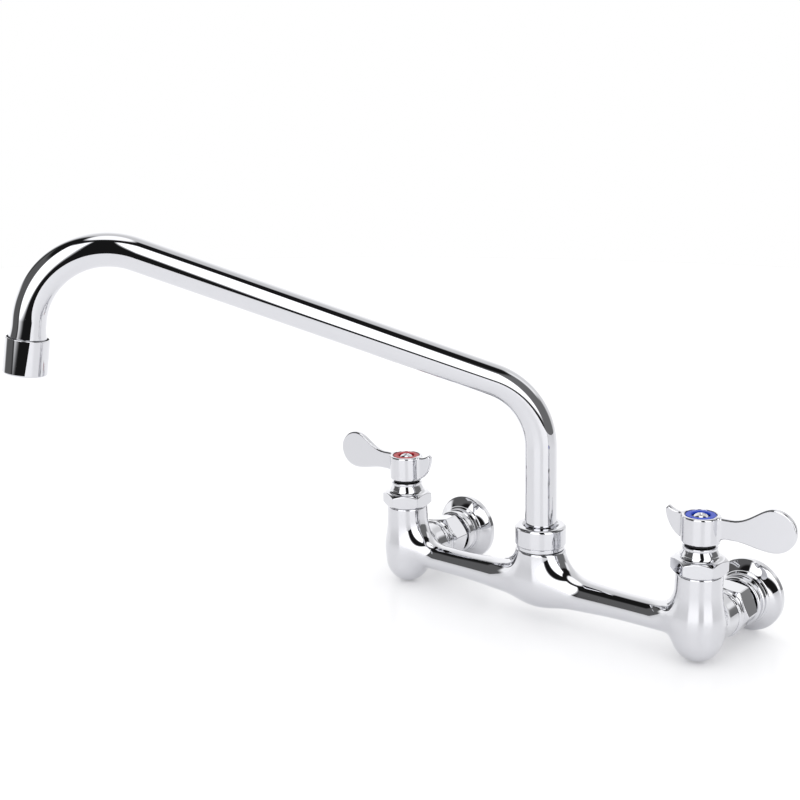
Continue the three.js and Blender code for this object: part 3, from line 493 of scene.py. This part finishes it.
def make_bonnet(side, x, turn):
    """The nut's hexagon, and the bell and neck above it with the skirt in the tower."""
    low, high = span(f"{side}_bonnet_nut")
    bottom, top = low[2], high[2]
    hex_bottom, hex_top = TOWER_TOP + GAP, TOWER_TOP + 8.7
    flats, corner, ease = 27.0, 15.7, 1.6
    bore, mouth, mouth_depth, skirt = 7.6, 6.0, 3.0, 10.5
    bell, fillet, neck, groove, bell_top = 10.5, 2.6, 9.6, 0.4, top - 1.9
    place = upright([x, AXIS_Y, 0])
    shape = hexagon_nut([
        (bore, hex_bottom, 0.1), (flats / 2 - 0.4, hex_bottom, 0.3),
        (corner, hex_bottom + ease, 0.5), (corner, hex_top - ease, 0.5),
        (flats / 2 - 0.3, hex_top, 0.3), (bore, hex_top, 0.1),
    ], flats, turn)
    add_piece(f"{side}_bonnet_hex", placed(shape, place), chrome_turned,
              "body", "chrome", f"{side}_bonnet_nut")
    flare = [(bell + fillet * (1 - math.sin(a)), hex_top + fillet * (1 - math.cos(a)))
             for a in np.linspace(0.06, 0.97, 14) * math.pi / 2]
    cap = rounded([
        (bore, bottom, 0.2), (skirt, bottom, 0.2), (skirt, hex_bottom + 1, 0.2),
        (bell + fillet, hex_bottom + 1.5, 0.2), (bell + fillet, hex_top, 0.05), *flare,
        (neck - groove, bell_top, 0.15), (neck - groove, bell_top + 0.2, 0.1),
        (neck, bell_top + 0.5, 0.3), (neck, top, 0.5), (mouth, top, 0.3),
        (mouth, top - mouth_depth, 0.2), (bore, top - mouth_depth - 0.1, 0.2),
    ], closed=True)
    add_piece(f"{side}_bonnet_bell", placed(turned(cap, closed=True), place), chrome_turned,
              "body", "chrome", f"{side}_bonnet_nut")


def make_flange(side, x):
    """The dished wall flange, its bead and the collared tail inside the coupling nut."""
    rim, edge, depth, step = FLANGE_RADIUS, 3.6, 8.5, 15.5
    bead, groove, groove_depth, bead_front = 14.4, 11.4, 0.9, 17.8
    tail, collar, collar_back, collar_front = 9.0, 11.2, 24.0, 26.8
    socket, socket_depth, bore = 9.5, 15.0, 6.0
    foot, foot_slope, top_slope = rim - 0.6, 0.55, 0.95
    run, steepening = foot - step, (top_slope - foot_slope) / 2
    dish = [(foot - run * t, edge + run * (foot_slope * t + steepening * t * t))
            for t in np.linspace(0.04, 0.97, 16)]
    profile = rounded([
        (socket, 0, 0.3), (rim, 0, 0.5), (rim, edge - 0.2, 0.5), *dish,
        (step, depth - 0.5, 0.3), (bead, depth + 0.4, 0.5), (bead, groove, 0.9),
        (bead - groove_depth, groove + groove_depth, 0.4), (bead, groove + 2 * groove_depth, 0.9),
        (bead, bead_front, 1.5), (tail, bead_front, 0.4), (tail, collar_back, 0.3),
        (collar, collar_back + 0.2, 0.2), (collar, collar_front, 0.3), (bore, collar_front, 0.3),
        (bore, socket_depth, 0.2), (socket, socket_depth, 0.2),
    ], closed=True)
    shape = placed(turned(profile, 160, closed=True), from_wall(x))
    add_piece(f"{side}_flange_chrome", shape, chrome_turned,
              "body", "chrome", f"{side}_wall_flange")


def make_coupling_nut(side, x, turn):
    back, hex_front, front = 20.0, 33.0, 36.4
    flats, corner, ease, nose = 26.0, 15.1, 1.4, 13.3
    tail_bore, thread_bore, back_wall = 9.5, 11.8, 2.8
    shape = hexagon_nut([
        (tail_bore, back, 0.2), (flats / 2 - 0.4, back, 0.3), (corner, back + ease, 0.5),
        (corner, hex_front - ease, 0.5), (flats / 2 - 0.4, hex_front, 0.3),
        (nose - 0.6, hex_front + 0.1, 0.2), (nose - 0.4, hex_front + 0.8, 0.4),
        (nose, front - 1.7, 0.5), (nose - 1.1, front, 0.2), (thread_bore, front, 0.1),
        (thread_bore, back + back_wall, 0.2), (tail_bore, back + back_wall - 0.1, 0.2),
    ], flats, turn)
    add_piece(f"{side}_coupling_chrome", placed(shape, from_wall(x)), chrome_turned,
              "body", "chrome", f"{side}_coupling_nut")


def make_dust_seal(side, x):
    bore, outer = 4.8, 8.2
    profile = rounded([(bore, SEAL_BOTTOM, 0.2), (outer, SEAL_BOTTOM, 0.3),
                       (outer, SEAL_TOP, 0.3), (bore, SEAL_TOP, 0.2)], closed=True)
    shape = placed(turned(profile, 96, closed=True), upright([x, AXIS_Y, 0]))
    add_piece(f"{side}_seal_rubber", shape, rubber, "body", "rubber", f"{side}_dust_seal")


# ---------------------------------------------------------------- lever handle
HUB_OUTER, BLADE_LENGTH, BLADE_THICKNESS = 10.4, 51.9, 3.4
LOBE_HALF_LENGTH, LOBE_HALF_HEIGHT, LOBE_HEIGHT = 12.2, 11.75, 12.9
NECK_TOP, NECK_BOTTOM, NECK_FILLET = 15.0, 3.85, 4.5
TAIL_REACH, TAIL_RISE, TAIL_TIP = 19.7, 17.5, 1.6
BLADE_EDGE, BLADE_WELD, HUB_EDGE = 1.0, 1.6, 1.2
HANDLE_HEIGHT = HANDLE_TOP - HANDLE_BOTTOM
RING_RADIUS, RING_BORE, RING_CLEAR = 8.2, 4.9, 0.4
SCREW_RADIUS, SCREW_POCKET = 4.4, 4.75
SCREW_TOP = span("cold_handle_screw")[1][2] + 0.3
SCREW_BOTTOM = SCREW_TOP - 3.2
STEM_SOCKET, STEM_SOCKET_DEPTH = 5.0, 8.5
SOCKET_EDGE = 0.35


def bezier(points, steps=14):
    """The points of a quadratic or cubic curve after its first."""
    spots = [np.array(p, float) for p in points]
    made = []
    for t in np.linspace(0, 1, steps + 1)[1:]:
        row = spots
        while len(row) > 1:
            row = [a + (b - a) * t for a, b in zip(row, row[1:])]
        made.append(row[0])
    return made


def blade_outline():
    """x runs out along the blade, y up from the hub's bottom.

    The curves' inner corners are given as shares of the lobe's distance from the hub's axis and of
    the tail's reach.
    """
    lobe = BLADE_LENGTH - LOBE_HALF_LENGTH
    top, bottom = LOBE_HEIGHT + LOBE_HALF_HEIGHT, LOBE_HEIGHT - LOBE_HALF_HEIGHT
    line = [(0, NECK_TOP), (lobe * 0.42, NECK_TOP)]
    line += bezier([line[-1], (lobe * 0.68, NECK_TOP), (lobe * 0.82, top), (lobe, top)])
    for angle in np.linspace(math.pi / 2, -math.pi / 2, 33)[1:]:
        line.append((lobe + LOBE_HALF_LENGTH * math.cos(angle),
                     LOBE_HEIGHT + LOBE_HALF_HEIGHT * math.sin(angle)))
    line += bezier([line[-1], (lobe * 0.8, bottom), (lobe * 0.64, NECK_BOTTOM),
                    (lobe * 0.5, NECK_BOTTOM)])
    line.append((HUB_OUTER + NECK_FILLET, NECK_BOTTOM))
    line += bezier([line[-1], (HUB_OUTER + 0.8, NECK_BOTTOM), (HUB_OUTER - 0.8, 0.3)], 8)
    line.append((-HUB_OUTER + 0.8, 0.3))
    line += bezier([line[-1], (-TAIL_REACH * 0.8, NECK_BOTTOM - TAIL_TIP),
                    (-TAIL_REACH, TAIL_RISE * 0.57), (-TAIL_REACH, TAIL_RISE - TAIL_TIP)])
    line.append((-TAIL_REACH + TAIL_TIP, TAIL_RISE))
    line += bezier([line[-1], (-TAIL_REACH * 0.76, NECK_TOP), (-TAIL_REACH * 0.56, NECK_TOP)], 8)
    return np.array([np.array(p, float) for p in line])


OUTLINE = blade_outline()


def outline_distance(x, y):
    """Signed distance to the blade's outline, below zero inside."""
    flat = np.stack([np.ravel(x), np.ravel(y)], -1)
    nearest = np.full(len(flat), 1e9)
    inside = np.zeros(len(flat), bool)
    for a, b in zip(OUTLINE, np.roll(OUTLINE, -1, 0)):
        edge = b - a
        away = flat - a
        share = np.clip(away @ edge / max(edge @ edge, 1e-12), 0, 1)
        nearest = np.minimum(nearest, ((away - share[:, None] * edge) ** 2).sum(-1))
        spans = (a[1] > flat[:, 1]) != (b[1] > flat[:, 1])
        rise = b[1] - a[1] or 1e-12
        crossing = a[0] + (flat[:, 1] - a[1]) * edge[0] / rise
        inside ^= spans & (flat[:, 0] < crossing)
    distance = np.sqrt(nearest)
    return np.where(inside, -distance, distance).reshape(np.shape(x))


def handle_field(x, y, z):
    """The blade melted into its hub, with the recesses for ring and screw and the stem's socket."""
    if np.ndim(x) == 3:  # on a grid the outline is worked out once for all y
        beside = outline_distance(x[:, 0, :], z[:, 0, :])[:, None, :]
    else:
        beside = outline_distance(x, z)
    across = np.abs(y) - BLADE_THICKNESS / 2
    u, v = beside + BLADE_EDGE, across + BLADE_EDGE
    outside = np.hypot(np.maximum(u, 0), np.maximum(v, 0))
    blade = outside + np.minimum(np.maximum(u, v), 0) - BLADE_EDGE
    off = np.hypot(x, y)
    hub = rod(off, z, 0, HANDLE_HEIGHT, HUB_OUTER, HUB_EDGE)
    whole = melt(blade, hub, BLADE_WELD)
    recess = np.maximum(off - RING_RADIUS - RING_CLEAR,
                        RING_BOTTOM - RING_CLEAR - HANDLE_BOTTOM - z)
    pocket = np.maximum(off - SCREW_POCKET, SCREW_BOTTOM - GAP - HANDLE_BOTTOM - z)
    socket = np.maximum(off - STEM_SOCKET, z - STEM_SOCKET_DEPTH)
    return cut(whole, -np.minimum(np.minimum(recess, pocket), socket), SOCKET_EDGE)


def screw_field(x, y, z):
    """A domed screw whose cross recess narrows towards its floor. Zero is the head's underside."""
    dome_radius, dome_edge, edge = 5.8, 0.7, 0.3
    shank_radius, shank_length = 1.9, 8.0
    arm_half_width, width_taper, arm_reach, reach_taper = 0.62, 0.12, 2.9, 0.5
    recess_depth, recess_edge = 1.7, 0.25
    off = np.hypot(x, y)
    top = SCREW_TOP - SCREW_BOTTOM
    dome = np.sqrt(off ** 2 + (z - top + dome_radius) ** 2) - dome_radius
    head = cut(cut(off - SCREW_RADIUS, dome, dome_edge), -z, edge)
    shank = rod(off, z, -shank_length, 1.0, shank_radius, edge)
    width = arm_half_width + width_taper * (z - top)
    reach = arm_reach + reach_taper * (z - top)
    slot = np.minimum(np.maximum(np.abs(x) - width, np.abs(y) - reach),
                      np.maximum(np.abs(y) - width, np.abs(x) - reach))
    recess = np.maximum(slot, top - recess_depth - z)
    return cut(np.minimum(head, shank), -recess, recess_edge)


def make_lever(side, x, turn, index_material, slot):
    """A handle with its index ring and screw."""
    body = f"{side}_lever"
    margin, side_margin = 1.5, 1.2
    low = [-TAIL_REACH - margin, -HUB_OUTER - side_margin, -side_margin]
    high = [BLADE_LENGTH + margin, HUB_OUTER + side_margin,
            LOBE_HEIGHT + LOBE_HALF_HEIGHT + margin]
    handle = surface_net(handle_field, low, high, 0.42)
    add_piece(f"{side}_handle_chrome", placed(handle, upright([x, AXIS_Y, HANDLE_BOTTOM], turn)),
              chrome_cast, body, "chrome", f"{side}_handle")
    outer, face, inner_step = RING_RADIUS - 0.1, HANDLE_TOP - 0.1, 0.7
    profile = rounded([(RING_BORE, RING_BOTTOM, 0.2), (outer, RING_BOTTOM, 0.2),
                       (outer, face, 0.3), (RING_BORE + 0.5, face, 0.3),
                       (RING_BORE, face - inner_step, 0.2)], closed=True)
    ring = placed(turned(profile, closed=True), upright([x, AXIS_Y, 0]))
    add_piece(f"{side}_index_gloss", ring, index_material, body, slot, f"{side}_index_ring")
    screw_turn = 20  # degrees from the blade's line
    screw = surface_net(screw_field, [-5.1, -5.1, -8.8], [5.1, 5.1, 3.3],
                        0.2)
    place = upright([x, AXIS_Y, SCREW_BOTTOM], turn + screw_turn)
    add_piece(f"{side}_screw_chrome", placed(screw, place),
              chrome_turned, body, "chrome", f"{side}_handle_screw")


# ---------------------------------------------------------------- spout
TUBE_RADIUS, TUBE_BOTTOM = 9.3, 36.1
SPOUT_SWING, SPOUT_SLOPE, TIP_TILT = 47.5, 22.0, 9.3
ARM_MEETS_RISER, RISER_BEND, TIP_BEND, ARM_LENGTH, TIP_STRAIGHT = 116.3, 45.1, 42.8, 208.7, 9.7
FLARE_RADIUS, FLARE_LENGTH = 10.3, 8.0
SLEEVE_RADIUS, SLEEVE_LENGTH = 11.9, 19.9
SLEEVE_WALL, SLEEVE_LIP, SLEEVE_MOUTH = 0.8, 1.3, 9.6


def spout_stations():
    """The tube's axis in its own upright plane, as rows of x, y and heading."""
    slope, tilt = math.radians(SPOUT_SLOPE), math.radians(TIP_TILT)
    first, last = math.pi / 2 - slope, slope + math.pi / 2 - tilt
    x, y, heading = 0.0, TUBE_BOTTOM, math.pi / 2
    rows = [(x, y, heading)]

    def straight(length, steps=24):
        nonlocal x, y
        for _ in range(steps):
            x += length / steps * math.cos(heading)
            y += length / steps * math.sin(heading)
            rows.append((x, y, heading))

    def bend(radius, angle, steps):
        nonlocal x, y, heading
        for _ in range(steps):
            chord = 2 * radius * math.sin(angle / steps / 2)
            heading -= angle / steps / 2
            x += chord * math.cos(heading)
            y += chord * math.sin(heading)
            heading -= angle / steps / 2
            rows.append((x, y, heading))

    straight(ARM_MEETS_RISER - RISER_BEND * math.tan(first / 2) - TUBE_BOTTOM)
    bend(RISER_BEND, first, 40)
    straight(ARM_LENGTH)
    bend(TIP_BEND, last, 60)
    straight(TIP_STRAIGHT, 12)
    return np.array(rows)


STATIONS = spout_stations()
SPOUT_PLACE = upright([0, AXIS_Y, 0], 180 + SPOUT_SWING)


def at_tip():
    """Placement of a piece turned about Z: its zero is at the tube's end, its Z runs outwards."""
    x, y, heading = STATIONS[-1]
    down = np.array([math.cos(heading), 0, math.sin(heading)])
    side = np.array([0, 1.0, 0])
    turn = np.stack([np.cross(side, down), side, down], -1)
    origin, swing = SPOUT_PLACE
    return origin + swing @ np.array([x, 0, y]), swing @ turn


def make_tube():
    """The tube is swept along its stations and flares a little where the sleeve goes over it."""
    sides = 96
    angle = np.arange(sides) * 2 * math.pi / sides
    x, y, heading = STATIONS.T
    to_tip = np.concatenate([[0], np.cumsum(np.hypot(np.diff(x), np.diff(y)))])
    to_tip = to_tip[-1] - to_tip
    flare = np.clip(1 - to_tip / FLARE_LENGTH, 0, 1)
    radius = TUBE_RADIUS + (FLARE_RADIUS - TUBE_RADIUS) * flare ** 2
    place = np.stack([x, 0 * x, y], -1)
    side = np.stack([-np.sin(heading), 0 * x, np.cos(heading)], -1)
    spoke = (np.cos(angle)[:, None, None] * side
             + np.sin(angle)[:, None, None] * np.array([0, -1.0, 0]))
    points = place + radius[None, :, None] * spoke
    shape = placed(stitched(points, spoke, closed=False), SPOUT_PLACE)
    add_piece("spout_tube_chrome", shape, chrome_drawn, "spout", "chrome", "spout_tube")


def make_spout_nut():
    """A round nut: a narrow skirt, a fine groove and the body with its rounded shoulder."""
    low, high = span("spout_nut")
    bottom, top = low[2], high[2]
    outer, skirt, band = 14.85, 14.0, bottom + 2.6
    thread_bore, thread_top, tube_bore = 12.6, 35.4, TUBE_RADIUS + 0.35
    mouth, mouth_depth = TUBE_RADIUS + 1.5, 1.4
    profile = rounded([
        (thread_bore, bottom, 0.2), (skirt, bottom, 0.6), (skirt, band - 0.35, 0.25),
        (skirt - 0.35, band - 0.2, 0.15), (skirt - 0.3, band + 0.1, 0.15),
        (outer, band + 0.25, 0.5), (outer, top, 2.5), (mouth, top, 0.5),
        (tube_bore, top - mouth_depth, 0.3), (tube_bore, thread_top + 0.2, 0.2),
        (thread_bore, thread_top, 0.3),
    ], closed=True)
    shape = placed(turned(profile, 160, closed=True), upright([0, AXIS_Y, 0]))
    add_piece("spout_nut_chrome", shape, chrome_turned, "body", "chrome", "spout_nut")


def make_sleeve():
    """The aerator's sleeve, with a lip turned in at its mouth."""
    bore, lip_bottom = SLEEVE_RADIUS - SLEEVE_WALL, SLEEVE_LENGTH - SLEEVE_LIP
    profile = rounded([
        (SLEEVE_RADIUS, 0, 0.5), (SLEEVE_RADIUS, SLEEVE_LENGTH, 1.2),
        (SLEEVE_MOUTH, SLEEVE_LENGTH, 0.4), (SLEEVE_MOUTH, lip_bottom - 0.1, 0.2),
        (bore, lip_bottom, 0.2), (bore, 0, 0.2),
    ], closed=True)
    shape = placed(turned(profile, 160, closed=True), at_tip())
    add_piece("aerator_sleeve_chrome", shape, chrome_turned, "spout", "chrome", "aerator_sleeve")


# ---------------------------------------------------------------- hidden pieces
def finish_inner_pieces():
    """Pieces that no view shows whole keep their CAD solids, and get the material of their kind."""
    kinds = {
        "cartridge": brass, "stem": brass, "spigot": brass, "disc": ceramic, "ring": rubber,
        "seal": rubber, "washer": rubber, "clip": steel, "screen": steel, "insert": nylon,
    }
    for name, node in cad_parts.items():
        kind = kinds.get(name.split("_")[-1])
        if name == "spout_glide_washer":
            kind = nylon
        if kind is not None:
            node.data.materials.clear()
            node.data.materials.append(kind)


# ---------------------------------------------------------------- studio
CAMERA_PLACE = (394.13, -654.89, 280.52)
CAMERA_ANGLES = (40.26, 13.14, -1.38)  # azimuth to the left of straight in, downward tilt and roll
SENSOR_WIDTH, FOCAL_LENGTH = 36, 56.98


def make_camera():
    """The photograph's view: from the front right, a little above."""
    azimuth, elevation, roll = (math.radians(a) for a in CAMERA_ANGLES)
    place = Vector(CAMERA_PLACE) / METRE
    ahead = Vector((-math.sin(azimuth) * math.cos(elevation),
                    math.cos(azimuth) * math.cos(elevation), -math.sin(elevation)))
    level = Vector((math.cos(azimuth), math.sin(azimuth), 0))
    above = level.cross(ahead)
    right = level * math.cos(roll) + above * math.sin(roll)
    up = above * math.cos(roll) - level * math.sin(roll)
    lens = bpy.data.cameras.new("camera")
    lens.sensor_width = SENSOR_WIDTH
    lens.lens = FOCAL_LENGTH
    camera = bpy.data.objects.new("camera", lens)
    camera.matrix_world = Matrix((
        (right.x, up.x, -ahead.x, place.x),
        (right.y, up.y, -ahead.y, place.y),
        (right.z, up.z, -ahead.z, place.z),
        (0, 0, 0, 1),
    ))
    scene.collection.objects.link(camera)
    scene.camera = camera


FLOOR_CENTRE, FLOOR_RADIUS = (-0.6, 0.75), 1.62  # in metres
FLOOR_CLEAR = 0.15  # under the rims of the flanges
FLOOR_LIFT = 0.15  # what the floor adds to the light that the camera and the metal see


def make_floor():
    """A pale table top that touches the feet of the valve bodies and the rims of the flanges."""
    fall = (FLANGE_RADIUS + TOWER_BOTTOM - 0.1) / -AXIS_Y  # the feet lie higher than the rims
    top = -(FLANGE_RADIUS + FLOOR_CLEAR) / METRE
    sides = 128
    corners = []
    for k in range(sides):
        angle = 2 * math.pi * k / sides
        x = FLOOR_CENTRE[0] + FLOOR_RADIUS * math.cos(angle)
        y = FLOOR_CENTRE[1] + FLOOR_RADIUS * math.sin(angle)
        corners.append((x, y, top - y * fall))
    mesh = bpy.data.meshes.new("table_top")
    mesh.from_pydata(corners, [], [list(range(sides))])
    material = bpy.data.materials.new("pale table")
    nodes, links, shader = nodes_of(material)
    patches = noise(nodes, links, scale=3.0)
    tint(nodes, links, shader, patches, (0.85, 0.85, 0.86), (0.87, 0.87, 0.88))
    shader.inputs["Roughness"].default_value = 0.25
    shader.inputs["Specular IOR Level"].default_value = 0.1
    path = nodes.new("ShaderNodeLightPath")
    seen = nodes.new("ShaderNodeMath")
    seen.operation = "MAXIMUM"
    links.new(path.outputs["Is Camera Ray"], seen.inputs[0])
    links.new(path.outputs["Is Glossy Ray"], seen.inputs[1])
    lift = nodes.new("ShaderNodeMath")
    lift.operation = "MULTIPLY"
    lift.inputs[1].default_value = FLOOR_LIFT
    links.new(seen.outputs[0], lift.inputs[0])
    links.new(lift.outputs[0], shader.inputs["Emission Strength"])
    shader.inputs["Emission Color"].default_value = (1, 1, 1, 1)
    mesh.materials.append(material)
    floor = bpy.data.objects.new("table_top", mesh)
    scene.collection.objects.link(floor)


class WorldMaths:
    """Arithmetic in the world's node tree."""

    def __init__(self, tree):
        self.tree = tree

    def put(self, socket, value):
        if isinstance(value, (int, float)):
            socket.default_value = value
        else:
            self.tree.links.new(value, socket)

    def __call__(self, operation, *values):
        node = self.tree.nodes.new("ShaderNodeMath")
        node.operation = operation
        for socket, value in zip(node.inputs, values):
            self.put(socket, value)
        return node.outputs[0]

    def ramp(self, value, low, high):
        """0 below low and 1 above high, smooth between."""
        node = self.tree.nodes.new("ShaderNodeMapRange")
        node.interpolation_type = "SMOOTHSTEP"
        self.put(node.inputs["Value"], value)
        node.inputs["From Min"].default_value = low
        node.inputs["From Max"].default_value = high
        return node.outputs["Result"]

    def window(self, value, low, high, soft):
        """1 between low and high, with soft edges."""
        return self("MULTIPLY", self.ramp(value, low - soft, low + soft),
                    self("SUBTRACT", 1.0, self.ramp(value, high - soft, high + soft)))

    def blend(self, under, over, mask):
        """over where the mask is 1, under elsewhere."""
        return self("ADD", under, self("MULTIPLY", self("SUBTRACT", over, under), mask))


# What the metal mirrors, in degrees: azimuth 0 is the room's front (-Y) and 90 its right (+X).
# Each panel has a middle azimuth, half its width, its lower and upper edge, softness, brightness
# and how far it leans, in degrees of azimuth for each degree of height.
STUDIO_PANELS = [
    ("left wall", -50, 31, -30, 44, 6, 0.13, 0),
    ("right wall", 118, 32, -30, 43, 5, 0.19, 0),
    ("backdrop", -158, 50, -30, 80, 8, 0.9, 0),
    ("backdrop wing", 151, 9, 18, 46, 4, 1.15, 0),
    ("backdrop light", -134, 34, -30, 80, 12, 1.25, 0),
    ("backdrop foot", -95, 26, -9, 14, 8, 1.25, 0),
    ("left soft box", 10, 22.5, -3, 60, 3.5, 1.9, -0.17),
    ("right soft box", 71, 19, -3, 56, 2.5, 1.9, 0),
]
ROOM_DARK = 0.012
OVERHEAD, OVERHEAD_EDGE = 1.5, (70, 76)
# the backdrop's own panels fade to this brightness between two elevations
BACKDROP_SHADE, BACKDROP_FADE = 0.8, (28, 62)
AMBIENT = 1.12  # the even light on everything that isn't mirrored


def make_world():
    """White to the camera, panels to what mirrors it and an even light to the rest."""
    world = bpy.data.worlds.new("studio")
    scene.world = world
    world.use_nodes = True
    world.cycles.sampling_method = "NONE"
    tree = world.node_tree
    maths = WorldMaths(tree)
    place = tree.nodes.new("ShaderNodeTexCoord")
    split = tree.nodes.new("ShaderNodeSeparateXYZ")
    tree.links.new(place.outputs["Generated"], split.inputs["Vector"])
    x, y, z = split.outputs
    degrees = 180 / math.pi
    azimuth = maths("MULTIPLY", maths("ARCTAN2", x, maths("MULTIPLY", y, -1.0)), degrees)
    elevation = maths("MULTIPLY", maths("ARCSINE", z), degrees)
    light = ROOM_DARK
    for name, centre, half, low, high, soft, brightness, lean in STUDIO_PANELS:
        middle_line = maths("ADD", float(centre), maths("MULTIPLY", elevation, float(lean)))
        beside = maths("WRAP", maths("SUBTRACT", azimuth, middle_line), 180.0, -180.0)
        mask = maths("MULTIPLY", maths.window(beside, -half, half, soft),
                     maths.window(elevation, low, high, min(soft, 4)))
        if name in ("backdrop", "backdrop light"):
            fade = maths.ramp(elevation, *BACKDROP_FADE)
            brightness = maths.blend(brightness, BACKDROP_SHADE, fade)
        light = maths.blend(light, brightness, mask)
    light = maths.blend(light, OVERHEAD, maths.ramp(elevation, *OVERHEAD_EDGE))
    path = tree.nodes.new("ShaderNodeLightPath")
    light = maths.blend(AMBIENT, light, path.outputs["Is Glossy Ray"])
    light = maths.blend(light, 1.0, path.outputs["Is Camera Ray"])
    background = tree.nodes["Background"]
    background.inputs["Color"].default_value = (1, 1, 1, 1)
    tree.links.new(light, background.inputs["Strength"])


# ---------------------------------------------------------------- assembly
make_camera()
make_body()
make_spout_nut()
make_tube()
make_sleeve()
# the nuts stand as they were tightened, and the levers as in the photograph, in degrees
for side, x, hex_turn, nut_turn, lever_turn, index_material, slot in (
        ("hot", -VALVE_X, 33.7, 11.2, 182, hot_red, "hot_red"),
        ("cold", VALVE_X, 23.6, -5.8, 4, cold_blue, "cold_blue")):
    make_bonnet(side, x, hex_turn)
    make_flange(side, x)
    make_coupling_nut(side, x, nut_turn)
    make_dust_seal(side, x)
    make_lever(side, x, lever_turn, index_material, slot)
finish_inner_pieces()
make_floor()
make_world()
scene.view_settings.view_transform = "Standard"
